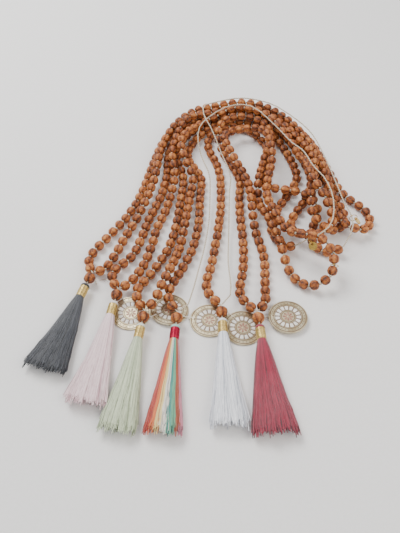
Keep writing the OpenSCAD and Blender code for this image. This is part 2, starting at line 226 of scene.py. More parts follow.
def mesh_piece(name, verts, faces, mat, body, replaced=(), slot=None, smooth=True, attributes=None):
    mesh = bpy.data.meshes.new(name)
    mesh.from_pydata([tuple(v) for v in verts], [], faces)
    add_floats(mesh, attributes or {})
    mesh.materials.append(mat)
    mesh.polygons.foreach_set("use_smooth", [smooth] * len(mesh.polygons))
    mesh.update()
    made = linked(name, mesh)
    if body:
        place(made, body, replaced, slot)
    return made


def place(made, body, replaced=(), slot=None):
    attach(made, body)
    if replaced:
        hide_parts(*replaced)


def grown(name, source, tree, inputs, body, replaced=(), slot=None):
    """Runs a Geometry Nodes tree on the source object and keeps the result as a plain mesh."""
    modifier = source.modifiers.new("grow", "NODES")
    modifier.node_group = tree
    for item in tree.interface.items_tree:
        if item.item_type == "SOCKET" and item.in_out == "INPUT" and item.name in inputs:
            modifier[item.identifier] = inputs[item.name]
    graph = bpy.context.evaluated_depsgraph_get()
    mesh = bpy.data.meshes.new_from_object(source.evaluated_get(graph), depsgraph=graph)
    made = linked(name, mesh)
    bpy.data.objects.remove(source)
    mesh.name = name
    place(made, body, replaced, slot)
    return made


def new_tree(name, inputs):
    """A Geometry Nodes tree with these inputs after its geometry, as tree, inputs and outputs."""
    tree = bpy.data.node_groups.new(name, "GeometryNodeTree")
    tree.interface.new_socket("Geometry", in_out="INPUT", socket_type="NodeSocketGeometry")
    for label, kind, value in inputs:
        socket = tree.interface.new_socket(label, in_out="INPUT", socket_type=kind)
        if value is not None:
            socket.default_value = value
    tree.interface.new_socket("Geometry", in_out="OUTPUT", socket_type="NodeSocketGeometry")
    return tree, tree.nodes.new("NodeGroupInput").outputs, tree.nodes.new("NodeGroupOutput").inputs


def frame_on(axis):
    """The axis and two ways across it. Within 3 degrees of upright they aren't quite square to it."""
    axis = Vector(axis).normalized()
    side = axis.cross(Vector((0, 0, 1)))
    side = side.normalized() if side.length > 0.05 else Vector((1, 0, 0))
    return axis, side, axis.cross(side)


def lathe(profile, around, origin, axis, ripple=None):
    """Turns a profile of (along, radius) about axis. Ends at radius 0 close as one point."""
    axis, side, other = frame_on(axis)
    verts, rings = [], []
    for along, radius in profile:
        if radius == 0:
            rings.append([len(verts)])
            verts.append(origin + axis * along)
            continue
        rings.append(list(range(len(verts), len(verts) + around)))
        for k in range(around):
            a = math.tau * k / around
            r = radius * (ripple(along, a) if ripple else 1)
            verts.append(origin + axis * along + (side * math.cos(a) + other * math.sin(a)) * r)
    faces = []
    for low, high in zip(rings, rings[1:]):
        for k in range(around):
            n = (k + 1) % around
            if len(low) == 1:
                faces.append((low[0], high[n], high[k]))
            elif len(high) == 1:
                faces.append((low[k], low[n], high[0]))
            else:
                faces.append((low[k], low[n], high[n], high[k]))
    return verts, faces


# ---- materials ----

def rudraksha_seed():
    """Dried rudraksha seed, brushed and oiled: warm brown, with painted shade in the dark grooves between
    rough ribs and round the bore, and painted light on the rib crests and warts.
    """
    mat, tree, shader = new_material("rudraksha_seed_oiled")
    place_in = node(tree, "ShaderNodeTexCoord").outputs["Object"]
    painted_relief_shade = node(tree, "ShaderNodeAttribute", attribute_name="painted_relief_shade").outputs["Fac"]
    tone = node(tree, "ShaderNodeAttribute", attribute_name="tone").outputs["Fac"]
    # warts of about 0.9 mm, drawn a little coarse so that they show
    warts = node(tree, "ShaderNodeTexVoronoi", {"Vector": place_in},
                 Scale=per_mm(1.1), feature="SMOOTH_F1")
    grain = node(tree, "ShaderNodeTexNoise", {"Vector": place_in}, Scale=per_mm(0.8), Detail=4.0)
    rough = node(tree, "ShaderNodeMath", {0: warts.outputs[0], 1: grain.outputs[0]},
                 operation="MULTIPLY_ADD")
    rough.inputs[2].default_value = 0.1
    # painted shade: the relief value darkens the clefts and the bore and lightens the rib crests and warts;
    # the wart and grain texture is then taken off
    shade = node(tree, "ShaderNodeMath", {0: painted_relief_shade, 1: rough.outputs[0]}, operation="SUBTRACT")
    mixed = node(tree, "ShaderNodeMath", {0: tone, 1: shade.outputs[0]}, operation="ADD")
    colour = ramp(tree, mixed.outputs[0], [
        (0.05, "#3a1c0e"), (0.35, "#7c3f1c"), (0.6, "#b0652f"), (0.85, "#d08a48"), (1.0, "#e2a863")])
    tree.links.new(colour, shader.inputs["Base Color"])
    height = node(tree, "ShaderNodeMath", {0: grain.outputs[0], 1: warts.outputs[0]}, operation="SUBTRACT")
    add_bump(tree, shader, height.outputs[0], 0.5, 0.8)
    shader.inputs["Roughness"].default_value = 0.5
    shader.inputs["Specular IOR Level"].default_value = 0.45
    return mat


def twisted_cotton(name, light, dark):
    """Plied cotton: fine slanting strands, 0.5 mm apart, with soft shadow between them."""
    mat, tree, shader = new_material(name)
    place_in = node(tree, "ShaderNodeTexCoord").outputs["Object"]
    # a wave's scale counts in radians, so a turn is about 6.28 of them
    ply = node(tree, "ShaderNodeTexWave", {"Vector": place_in}, Scale=per_mm(0.5) / 6.28,
               Distortion=2.0, bands_direction="DIAGONAL")
    fuzz = node(tree, "ShaderNodeTexNoise", {"Vector": place_in}, Scale=per_mm(0.4), Detail=3.0)
    both = node(tree, "ShaderNodeMath", {0: ply.outputs["Fac"], 1: fuzz.outputs[0]}, operation="MULTIPLY")
    tree.links.new(ramp(tree, both.outputs[0], [(0.1, dark), (0.6, light)]), shader.inputs["Base Color"])
    add_bump(tree, shader, both.outputs[0], 0.15, 0.6)
    shader.inputs["Roughness"].default_value = 0.85
    shader.inputs["Sheen Weight"].default_value = 0.3
    return mat


def floss(name, dark, light, sheen=0.4):
    """Viscose embroidery floss: soft silky threads, each with its own depth of colour, from the shade
    attribute, which also carries painted shade: the darker skirt core and the darker lines between the cap
    threads.
    """
    mat, tree, shader = new_material(name)
    shade = node(tree, "ShaderNodeAttribute", attribute_name="shade").outputs["Fac"]
    place_in = node(tree, "ShaderNodeTexCoord").outputs["Object"]
    slub = node(tree, "ShaderNodeTexNoise", {"Vector": place_in}, Scale=per_mm(3.0), Detail=3.0)
    both = node(tree, "ShaderNodeMath", {0: slub.outputs[0], 1: shade, 2: shade},
                operation="MULTIPLY_ADD")
    tree.links.new(ramp(tree, both.outputs[0], [(0.15, dark), (1.0, light)]), shader.inputs["Base Color"])
    fibre = node(tree, "ShaderNodeTexNoise", {"Vector": place_in}, Scale=per_mm(0.5), Detail=2.0)
    add_bump(tree, shader, fibre.outputs[0], 0.1, 0.5)
    shader.inputs["Roughness"].default_value = 0.42
    shader.inputs["Sheen Weight"].default_value = sheen
    shader.inputs["Anisotropic"].default_value = 0.4
    return mat


def dyed_bundles():
    """Floss dyed in bundles side by side. A thread's colour goes by its place across the tassel."""
    mat, tree, shader = new_material("rainbow_viscose_floss")
    dye = node(tree, "ShaderNodeAttribute", attribute_name="dye").outputs["Fac"]
    shade = node(tree, "ShaderNodeAttribute", attribute_name="shade").outputs["Fac"]
    bundles = ramp(tree, dye, [
        (0.0, "#c9402a"), (0.16, "#ea7a35"), (0.30, "#f3d98c"), (0.44, "#f4efe2"),
        (0.56, "#3f9d93"), (0.66, "#6fb58e"), (0.76, "#b5542c"), (0.88, "#d9889b"), (1.0, "#e3b4ae")])
    bundles.node.color_ramp.interpolation = "CONSTANT"
    # the shade attribute darkens each thread by its own depth of colour, and darkens the skirt core as painted
    # shade
    depth = ramp(tree, shade, [(0.0, "#8f8f8f"), (0.7, "#ffffff")])
    mix = node(tree, "ShaderNodeMix", data_type="RGBA", blend_type="MULTIPLY")
    mix.inputs[0].default_value = 1.0
    tree.links.new(bundles, mix.inputs[6])
    tree.links.new(depth, mix.inputs[7])
    tree.links.new(mix.outputs[2], shader.inputs["Base Color"])
    place_in = node(tree, "ShaderNodeTexCoord").outputs["Object"]
    fibre = node(tree, "ShaderNodeTexNoise", {"Vector": place_in}, Scale=per_mm(0.5), Detail=2.0)
    add_bump(tree, shader, fibre.outputs[0], 0.1, 0.5)
    shader.inputs["Roughness"].default_value = 0.45
    shader.inputs["Sheen Weight"].default_value = 0.35
    return mat


def metallic_thread(name, dark, light):
    """Lurex-type thread: thin foil wound on a core, bright and broken up by the turns."""
    mat, tree, shader = new_material(name)
    place_in = node(tree, "ShaderNodeTexCoord").outputs["Object"]
    foil = node(tree, "ShaderNodeTexNoise", {"Vector": place_in},
                Scale=per_mm(0.7), Detail=5.0, Roughness=0.7)
    tree.links.new(ramp(tree, foil.outputs[0], [(0.3, dark), (0.62, light)]), shader.inputs["Base Color"])
    gloss = node(tree, "ShaderNodeMapRange", {0: foil.outputs[0]}, To_Min=0.22, To_Max=0.45)
    tree.links.new(gloss.outputs[0], shader.inputs["Roughness"])
    add_bump(tree, shader, foil.outputs[0], 0.12, 0.7)
    shader.inputs["Metallic"].default_value = 0.85
    return mat


def brass(name, dark, light, rough):
    """Stamped brass plate, lightly brushed: satin with small scratches and tarnish in the lows."""
    mat, tree, shader = new_material(name)
    place_in = node(tree, "ShaderNodeTexCoord").outputs["Object"]
    stain = node(tree, "ShaderNodeTexNoise", {"Vector": place_in}, Scale=per_mm(5), Detail=5.0)
    tree.links.new(ramp(tree, stain.outputs[0], [(0.3, dark), (0.6, light)]), shader.inputs["Base Color"])
    brush = node(tree, "ShaderNodeTexNoise", {"Vector": place_in}, Scale=per_mm(0.6), Detail=3.0)
    gloss = node(tree, "ShaderNodeMapRange", {0: brush.outputs[0]},
                 To_Min=rough - 0.08, To_Max=rough + 0.14)
    tree.links.new(gloss.outputs[0], shader.inputs["Roughness"])
    add_bump(tree, shader, brush.outputs[0], 0.03, 0.5)
    shader.inputs["Metallic"].default_value = 0.9
    return mat


def enamel(name, dark, light, rough=0.35):
    """Soft fired enamel laid in the etched cells, slightly mottled."""
    mat, tree, shader = new_material(name)
    place_in = node(tree, "ShaderNodeTexCoord").outputs["Object"]
    cloud = node(tree, "ShaderNodeTexNoise", {"Vector": place_in}, Scale=per_mm(1.5), Detail=4.0)
    tree.links.new(ramp(tree, cloud.outputs[0], [(0.3, dark), (0.6, light)]), shader.inputs["Base Color"])
    add_bump(tree, shader, cloud.outputs[0], 0.05, 0.5)
    shader.inputs["Roughness"].default_value = rough
    shader.inputs["Coat Weight"].default_value = 0.2
    return mat


seed = rudraksha_seed()
ivory_cotton = twisted_cotton("ivory_cotton_cord", "#f3ead6", "#a8967a")
champagne = brass("champagne_brass_satin", "#b9a77f", "#e3d6b4", rough=0.34)
etched = enamel("umber_etching_fill", "#5e4632", "#8a6c4e", rough=0.5)
pearl = enamel("pearl_white_enamel", "#e2ddd0", "#f8f5ec")
rose = enamel("rose_brown_enamel", "#8a5a4a", "#b58570")
tag_gold = brass("polished_tag_brass", "#b8862f", "#f0cd72", rough=0.22)
gold = metallic_thread("gold_lurex_thread", "#7d5a1c", "#f5d98a")
crimson = metallic_thread("crimson_lurex_thread", "#5c0a1c", "#c92a4c")
# Dark and light ends of each floss. The rainbow tassel's loose threads have dyed_bundles instead.
CAP_FLOSS = {
    "black": ("#060607", "#1c1d22"), "blush": ("#c9bdb6", "#f4ece6"), "sage": ("#c4c6b4", "#eef0e4"),
    "rainbow": ("#6fb0a0", "#b6ddd0"), "white": ("#d2d2d0", "#ffffff"), "burgundy": ("#5c0a1e", "#a81c3a")}
SKIRT_FLOSS = {
    "black": ("#08090c", "#30343d"), "blush": ("#c49aa2", "#f6dfe0"), "sage": ("#8f9c78", "#d3dcbc"),
    "white": ("#b9bdc6", "#fbfcff"), "burgundy": ("#4a0715", "#a3163a")}


# ---- seed beads ----

RIBS = 5
WARTS = 26
BORE = 0.24
LARGEST = 1.02


def seed_shape(name, variant, segments, rings):
    """A seed of radius 1 with five lobes, pitted between them and dimpled round its bore."""
    draw = random.Random(40 + variant)
    warts = [(draw.uniform(0, math.tau), draw.uniform(-0.8, 0.8), draw.uniform(0.02, 0.06))
             for _ in range(WARTS)]
    verts, painted_relief_shade = [], []
    for j in range(rings + 1):
        polar = math.pi * (0.075 + 0.85 * j / rings)
        for k in range(segments):
            a = math.tau * k / segments
            cleft = abs(math.cos(RIBS * a / 2 + 0.25 * math.sin(3 * polar + variant))) ** 0.55
            wart = sum(h * math.exp(-((math.cos(a - wa) - 1) * -9 + (math.cos(polar) - wz) ** 2 * 16))
                       for wa, wz, h in warts)
            r = 0.90 + 0.075 * cleft + wart - 0.03 * math.cos(2 * polar) ** 8
            r = min(r, LARGEST)
            verts.append((r * math.sin(polar) * math.cos(a), r * math.sin(polar) * math.sin(a),
                          0.97 * r * math.cos(polar)))
            # painted shade from the relief: lowest in the clefts, higher on the rib crests and highest on
            # warts, so the clefts are painted darker and the crests lighter
            painted_relief_shade.append(min(1.0, 0.1 + 0.62 * cleft + 2.2 * wart))
    ends = []
    for z, ring in ((0.80, 0), (-0.80, rings)):
        ends.append((len(verts), ring))
        for k in range(segments):
            a = math.tau * k / segments
            verts.append((BORE * math.cos(a), BORE * math.sin(a), z))
            # painted shade round the bore: the dimple gets the darkest value
            painted_relief_shade.append(0.02)
    faces = ring_faces(rings, segments)
    for (first, ring), flip in zip(ends, (False, True)):
        for k in range(segments):
            n = (k + 1) % segments
            face = (first + k, ring * segments + k, ring * segments + n, first + n)
            faces.append(face[::-1] if flip else face)
        cap = tuple(first + k for k in range(segments))
        faces.append(cap[::-1] if flip else cap)
    mesh = bpy.data.meshes.new(name)
    mesh.from_pydata(verts, [], faces)
    add_floats(mesh, {"painted_relief_shade": painted_relief_shade})
    mesh.update()
    return bpy.data.objects.new(name, mesh)


# How many shapes a strand picks from; stringing_tree has a socket for each
SHAPES = 3


def stringing_tree():
    """Sets one of the shapes on every point, its Z along the strand and turned by its own spin."""
    tree, given, result = new_tree("string shapes along a strand", [
        ("Shape A", "NodeSocketObject", None), ("Shape B", "NodeSocketObject", None),
        ("Shape C", "NodeSocketObject", None), ("Radius", "NodeSocketFloat", 0.00385),
        ("Material", "NodeSocketMaterial", None)])
    shapes = tree.nodes.new("GeometryNodeJoinGeometry")
    for label in ("Shape C", "Shape B", "Shape A"):
        info = node(tree, "GeometryNodeObjectInfo", {"Object": given[label]})
        info.inputs["As Instance"].default_value = True
        tree.links.new(info.outputs["Geometry"], shapes.inputs[0])

    def named(attribute, kind):
        read = node(tree, "GeometryNodeInputNamedAttribute", data_type=kind)
        read.inputs["Name"].default_value = attribute
        return read.outputs["Attribute"]
    aim = node(tree, "FunctionNodeAlignRotationToVector", {"Vector": named("way", "FLOAT_VECTOR")}, axis="Z")
    spin = node(tree, "FunctionNodeAxisAngleToRotation", {"Angle": named("spin", "FLOAT")})
    turned = node(tree, "FunctionNodeRotateRotation",
                  {0: aim.outputs[0], 1: spin.outputs[0]}, rotation_space="LOCAL")
    set_on = node(tree, "GeometryNodeInstanceOnPoints", {
        "Points": given["Geometry"], "Instance": shapes.outputs[0], "Rotation": turned.outputs[0],
        "Instance Index": named("kind", "INT"), "Scale": given["Radius"]})
    set_on.inputs["Pick Instance"].default_value = True
    real = node(tree, "GeometryNodeRealizeInstances", {0: set_on.outputs[0]})
    soft = node(tree, "GeometryNodeSetShadeSmooth", {0: real.outputs[0]})
    dressed = node(tree, "GeometryNodeSetMaterial",
                   {"Geometry": soft.outputs[0], "Material": given["Material"]})
    tree.links.new(dressed.outputs[0], result[0])
    return tree


def points_on_strand(name, places, draw):
    """A mesh of loose points that carries each shape's way, spin, kind and tone."""
    mesh = bpy.data.meshes.new(name)
    mesh.from_pydata([tuple(p) for p, _ in places], [], [])
    n = len(places)
    mesh.attributes.new("way", "FLOAT_VECTOR", "POINT").data.foreach_set(
        "vector", [c for _, way in places for c in way])
    add_floats(mesh, {"spin": [draw.uniform(0, math.tau) for _ in range(n)]})
    add_floats(mesh, {"tone": [draw.uniform(0.02, 0.3) for _ in range(n)]})
    mesh.attributes.new("kind", "INT", "POINT").data.foreach_set(
        "value", [draw.randrange(SHAPES) for _ in range(n)])
    return linked(name, mesh)


def knot_shape(name, variant):
    """An overhand knot pulled tight, as a lumpy three-turn bead of radius 1."""
    verts = []
    segments, rings = 8, 6
    for j in range(rings + 1):
        polar = math.pi * (0.12 + 0.76 * j / rings)
        for k in range(segments):
            a = math.tau * k / segments
            r = 0.86 + 0.16 * math.sin(6 * polar + 2 * a + variant)
            verts.append((r * math.sin(polar) * math.cos(a), r * math.sin(polar) * math.sin(a),
                          0.8 * math.cos(polar)))
    faces = ring_faces(rings, segments)
    faces.append(tuple(range(segments)))
    faces.append(tuple(rings * segments + k for k in reversed(range(segments))))
    mesh = bpy.data.meshes.new(name)
    mesh.from_pydata(verts, [], faces)
    mesh.update()
    return bpy.data.objects.new(name, mesh)


string_shapes = stringing_tree()
seeds = [seed_shape("seed_%d" % v, v, 20, 10) for v in range(SHAPES)]
fine_seeds = [seed_shape("fine_seed_%d" % v, v + SHAPES, 40, 20) for v in range(SHAPES)]
knot_shapes = [knot_shape("knot_%d" % v, v) for v in range(SHAPES)]
KNOT_R = 1.15 * MM
strand_draw = random.Random(7)


def strung(name, places, shapes, radius, mat, body, replaced, slot):
    """Sets shapes on the places of a strand, as one piece."""
    inputs = dict(zip(("Shape A", "Shape B", "Shape C"), shapes), Radius=radius, Material=mat)
    points = points_on_strand(name + "_points", places, strand_draw)
    grown(name, points, string_shapes, inputs, body, replaced, slot)


def string_mala(name):
    """Seeds on every bead that the walk along the strand finds, knots between them, and the cord."""
    beads, knots = strand(name)
    print(name, "beads found", len(beads))
    radius = beads[1][2]
    strung(name + "_seeds", [(p, way) for p, way, _ in beads[1:]], seeds, radius, seed,
           "root", [name + "_beads"], "rudraksha_seed")
    strung(name + "_first_seed", [beads[0][:2]], fine_seeds, radius, seed,
           name + "_first", [name + "_first_bead"], "rudraksha_seed")
    spin = joints[name + "_guru_spin"]
    low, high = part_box(name + "_guru")
    middle = (Vector(low) + Vector(high)) / 2
    strung(name + "_guru_seed", [(middle, spin["axis"])], fine_seeds, (high[2] - low[2]) / 2, seed,
           name + "_guru_bead", [name + "_guru"], "rudraksha_seed")
    strung(name + "_knots", knots, knot_shapes, KNOT_R, ivory_cotton, "root", [], "ivory_cord")
    cord = frame["nodes"][name + "_cord"].data
    cord.materials.clear()
    cord.materials.append(ivory_cotton)


for mala in MALAS:
    string_mala(mala)


# ---- tassels ----

def tassel_line(name):
    """The tassel's pivot, its way out, its sideways way and up."""
    joint = joints[name + "_tassel_lift"]
    across = Vector(joint["axis"])
    out = Vector((-across.y, across.x, 0)).normalized()
    return Vector(joint["pos_m"]), out, Vector((0, 0, 1)).cross(out), Vector((0, 0, 1))


def span_along(tri, origin, out):
    """Least and greatest distance of the corners along out, and every one of them."""
    along = (tri.reshape(-1, 3) - np.array(origin)) @ np.array(out)
    return along.min(), along.max(), along


def wound(profile_low, profile_high, turns, radius_of, bulge, steps=4):
    """A profile wound with thread: one round turn after another."""
    profile = []
    for i in range(turns * steps + 1):
        t = i / (turns * steps)
        along = profile_low + (profile_high - profile_low) * t
        profile.append((along, radius_of(t) + bulge * abs(math.sin(math.pi * t * turns))))
    return profile


# Threads that show round a cap, with three points to each
CAP_THREADS = 28
CAP_AROUND = 84
# Spacing of the turns of metallic thread, and how far each stands out
TURN = 0.62 * MM
BULGE = 0.22 * MM


def dress_head(name):
    """The thread-wrapped cap and the collar wound with metallic thread."""
    origin, out, _, _ = tassel_line(name)
    cap_low, cap_high, _ = span_along(corners(name + "_cap"), origin, out)
    low, high, _ = span_along(corners(name + "_collar"), origin, out)
    tri = corners(name + "_collar").reshape(-1, 3)
    collar_r = (tri[:, 2].max() - tri[:, 2].min()) / 2
    dark, light = CAP_FLOSS[name]
    cap_mat = floss(name + "_cap_floss", dark, light, sheen=0.5)
    neck, neck_r, steps = 0.6 * MM, 0.55 * MM, 12
    dome = [(cap_low, 0), (cap_low + 0.4 * MM, 0.5 * MM), (cap_low + neck, neck_r)]
    for i in range(1, steps + 1):
        a = i / steps * math.pi / 2
        dome.append((cap_low + neck + (cap_high - cap_low - neck) * (1 - math.cos(a)),
                     neck_r + (collar_r - 0.45 * MM) * math.sin(a)))
    dome.append((cap_high + 0.05 * MM, 0))
    verts, faces = lathe(dome, CAP_AROUND, origin, out, lambda along, a: 1 + 0.035 * math.sin(CAP_THREADS * a))
    # painted shade: each cap thread is painted lighter along its crown and darker where it meets the next, in
    # step with the ripple
    shades = [0.45 + 0.3 * math.sin(CAP_THREADS * math.tau * (k % CAP_AROUND) / CAP_AROUND)
              for k in range(len(verts))]
    mesh_piece(name + "_thread_cap", verts, faces, cap_mat, name + "_tassel", [name + "_cap"],
               name + "_cap_thread", attributes={"shade": shades})
    turns = round((high - low) / TURN)
    winding = wound(low, high, turns, lambda t: collar_r - BULGE + 0.12 * MM * math.sin(math.pi * t), BULGE)
    profile = [(low, 0)] + winding + [(high, 0)]
    verts, faces = lathe(profile, 36, origin, out, lambda along, a: 1 + 0.012 * math.sin(9 * a + along * 900))
    mat, slot = (crimson, "crimson_thread") if name == "rainbow" else (gold, "gold_thread")
    mesh_piece(name + "_wound_collar", verts, faces, mat, name + "_tassel", [name + "_collar"], slot)


# Stretches between the sections of the CAD skirt, whose corners lie only there
STATIONS = 8


def skirt_envelope(name):
    """Half width, lowest and highest height of the loose threads, from the collar to the cut end."""
    origin, out, side, _ = tassel_line(name)
    tri = corners(name + "_skirt")
    start, end, along = span_along(tri, origin, out)
    points = tri.reshape(-1, 3)
    across = (points - np.array(origin)) @ np.array(side)
    rows = []
    for s in range(STATIONS + 1):
        mask = np.abs(along - (start + (end - start) * s / STATIONS)) < 0.2 * MM
        rows.append((across[mask].max(), points[mask][:, 2].min(), points[mask][:, 2].max()))
    return start, end, rows


def row_at(rows, t):
    """The skirt's section at t, from 0 at the collar to 1 at the cut end."""
    f = min(max(t, 0), 1) * (len(rows) - 1)
    i = min(int(f), len(rows) - 2)
    return [a + (b - a) * (f - i) for a, b in zip(rows[i], rows[i + 1])]


def threads_tree():
    """Turns each polyline into a thin thread and sets it waving a little more towards its end."""
    tree, given, result = new_tree("spin threads on guide lines", [
        ("Thread radius", "NodeSocketFloat", 0.00024), ("Wave", "NodeSocketFloat", 0.0012),
        ("Wave spacing", "NodeSocketFloat", 90.0), ("Sides", "NodeSocketInt", 4),
        ("Material", "NodeSocketMaterial", None)])
    free = node(tree, "GeometryNodeInputNamedAttribute", data_type="FLOAT")
    free.inputs["Name"].default_value = "free"
    noise = node(tree, "ShaderNodeTexNoise", {"Scale": given["Wave spacing"]},
                 noise_dimensions="3D", Detail=1.0)
    centred = node(tree, "ShaderNodeVectorMath", {0: noise.outputs["Color"]}, operation="SUBTRACT")
    centred.inputs[1].default_value = (0.5, 0.5, 0.5)
    size = node(tree, "ShaderNodeMath", {0: free.outputs["Attribute"], 1: given["Wave"]},
                operation="MULTIPLY")
    push = node(tree, "ShaderNodeVectorMath", {0: centred.outputs[0], "Scale": size.outputs[0]},
                operation="SCALE")
    moved = node(tree, "GeometryNodeSetPosition",
                 {"Geometry": given["Geometry"], "Offset": push.outputs[0]})
    lines = node(tree, "GeometryNodeMeshToCurve", {0: moved.outputs[0]})
    ring = node(tree, "GeometryNodeCurvePrimitiveCircle", {"Resolution": given["Sides"],
                                                           "Radius": given["Thread radius"]})
    tubes = node(tree, "GeometryNodeCurveToMesh",
                 {"Curve": lines.outputs[0], "Profile Curve": ring.outputs[0]})
    tubes.inputs["Fill Caps"].default_value = True
    soft = node(tree, "GeometryNodeSetShadeSmooth", {0: tubes.outputs[0]})
    real = node(tree, "GeometryNodeRealizeInstances", {0: soft.outputs[0]})
    dressed = node(tree, "GeometryNodeSetMaterial",
                   {"Geometry": real.outputs[0], "Material": given["Material"]})
    tree.links.new(dressed.outputs[0], result[0])
    return tree


spin_threads = threads_tree()
THREADS = 620
# Stretches of each thread, and the share of the threads that lie on the outside
BENDS = 11
OUTER = 0.8


def dress_skirt(name, mat):
    """A soft core, painted darker as the shade inside the tassel, with many fine threads over it, fanned out
    and cut a little unevenly.
    """
    origin, out, side, up = tassel_line(name)
    start, end, rows = skirt_envelope(name)
    floor = Vector((origin.x, origin.y, 0))
    r = random.Random("skirt " + name)

    def spot(t, u, v, grow=1.0):
        half, low, high = row_at(rows, t)
        middle, thick = (low + high) / 2, (high - low) / 2
        return (floor + out * (start + (end - start) * t) + side * half * u * grow
                + up * max(middle + thick * v * grow, 0.25 * MM))

    steps, around = 24, 48
    verts, shades, dyes = [], [], []
    for s in range(steps + 1):
        for k in range(around):
            a = math.tau * k / around
            fold = 0.86 + 0.03 * math.sin(11 * a + 2 * s / steps)
            verts.append(spot(0.97 * s / steps, math.cos(a), math.sin(a), fold))
            # painted shade: the core gets a low shade value, so it is darker than the threads over it
            shades.append(0.22)
            dyes.append(0.5 + 0.5 * math.cos(a))
    faces = [(s * around + k, s * around + (k + 1) % around, (s + 1) * around + (k + 1) % around,
              (s + 1) * around + k) for s in range(steps) for k in range(around)]
    faces.append(tuple(reversed(range(around))))
    faces.append(tuple(steps * around + k for k in range(around)))
    mesh_piece(name + "_skirt_core", verts, faces, mat, name + "_tassel", [name + "_skirt"],
               name + "_thread", attributes={"shade": shades, "dye": dyes})

    verts, edges, free, shades, dyes = [], [], [], [], []
    for i in range(THREADS):
        outer = i < OUTER * THREADS
        a = r.uniform(-0.12, 1.12) * math.pi if outer else r.uniform(0, math.tau)
        depth = r.uniform(0.88, 0.98) if outer else math.sqrt(r.uniform(0.05, 0.85))
        drift = r.gauss(0, 0.10)
        lean = r.gauss(0, 0.05)
        length = 1.0 + 0.025 * r.gauss(0, 1) - 0.02 * abs(math.cos(a))
        shade = min(1.0, max(0.0, r.gauss(0.5, 0.2)))
        dye = min(0.999, max(0.0, 0.5 + 0.5 * math.cos(a) * depth + r.gauss(0, 0.012)))
        base = len(verts)
        for s in range(BENDS + 1):
            t = length * s / BENDS if outer else 0.55 + 0.45 * length * s / BENDS
            b = a + drift * t * t
            u = math.cos(b) * depth + lean * t * t
            verts.append(spot(min(t, 1.03), u, math.sin(b) * depth + 0.12 * lean))
            if t > 1:
                verts[-1] = verts[-1] + out * (t - 1) * (end - start)
            free.append(min(1, t * 1.2))
            shades.append(shade)
            dyes.append(dye)
            if s:
                edges.append((base + s - 1, base + s))
    mesh = bpy.data.meshes.new(name + "_guides")
    mesh.from_pydata([tuple(v) for v in verts], edges, [])
    add_floats(mesh, {"free": free, "shade": shades, "dye": dyes})
    grown(name + "_loose_threads", linked(name + "_guides", mesh), spin_threads, {
        "Thread radius": 0.26 * MM, "Wave": 1.6 * MM, "Wave spacing": 120.0, "Sides": 4, "Material": mat},
        name + "_tassel", [], name + "_thread")


for mala in MALAS:
    dress_head(mala)
    if mala == "rainbow":
        skirt_mat = dyed_bundles()
    else:
        skirt_mat = floss(mala + "_viscose_floss", *SKIRT_FLOSS[mala])
    dress_skirt(mala, skirt_mat)


# ---- medallions ----

def disc_place(node_name):
    """Centre of the disc's upper face, its radius and thickness, and its own three ways."""
    tri = corners(node_name)
    normal = np.cross(tri[:, 1] - tri[:, 0], tri[:, 2] - tri[:, 0])
    area = np.linalg.norm(normal, axis=1)
    unit = normal / np.maximum(area[:, None], 1e-20)
    largest = unit[area.argmax()]
    faces_up = unit[:, 2] > 0.9 if abs(largest[2]) > 0.9 else unit @ largest > 0.99
    up = normal[faces_up].sum(axis=0)
    up = Vector(up / np.linalg.norm(up))
    points = tri[faces_up].reshape(-1, 3)
    _, side, other = frame_on(up)
    a, b = points @ np.array(side), points @ np.array(other)
    h = float((points @ np.array(up)).mean())
    centre = side * float(a.max() + a.min()) / 2 + other * float(b.max() + b.min()) / 2 + up * h
    radius = float(a.max() - a.min()) / 2
    thick = h - float((tri.reshape(-1, 3) @ np.array(up)).min())
    return centre, radius, thick, side, other, up


# The medallion's pattern in millimetres, for a plate of this radius
PLATE_R = 13.7
PLATE_AROUND = 96
PLATE_ROWS = [
    (0, 0), (11.9, 0), (13.5, 0.12), (13.7, 0.3), (13.7, -0.25), (13.45, -0.001), (12.95, -0.001),
    (12.75, -0.18), (12.45, -0.18), (12.25, -0.03), (10.35, -0.03), (10.2, -0.2), (9.9, -0.2),
    (9.75, -0.001), (9.35, -0.001), (9.2, -0.14), (5.5, -0.14), (5.35, -0.001), (4.95, -0.001),
    (4.8, -0.2), (4.5, -0.2), (4.35, -0.06), (0, -0.06)]
ETCHED_STEPS = (6, 7, 8, 10, 11, 12, 14, 15, 16, 18, 19, 20)
CELLS, CELL_IN, CELL_OUT, CELL_TIP = 15, 5.9, 8.9, 9.05
PETALS = 8
BOSS_R = 0.75
DOTS, DOT_AT, DOT_R, DOT_GAP = 30, 11.3, 0.42, 0.2
EYELET_AT, EYELET_R, PUPIL_R = 10.3, 1.25, 0.85
METAL, ETCH, PEARL, ROSE = range(4)
MEDALLION_MATERIALS = (champagne, etched, pearl, rose)


def medallion_profile(radius, thick):
    """Heights and radii of the plate. Heights under 0 count down from its upper face."""
    return [(z * MM if z >= 0 else thick + z * MM, r * radius / PLATE_R) for r, z in PLATE_ROWS]


def polar(r, a):
    return (r * math.cos(a), r * math.sin(a))


def circle(r, count):
    return [polar(r, math.tau * k / count) for k in range(count)]


def on_plate(name, mesh):
    """An object for a mesh of the medallion, with its four materials."""
    for mat in MEDALLION_MATERIALS:
        mesh.materials.append(mat)
    return linked(name, mesh)


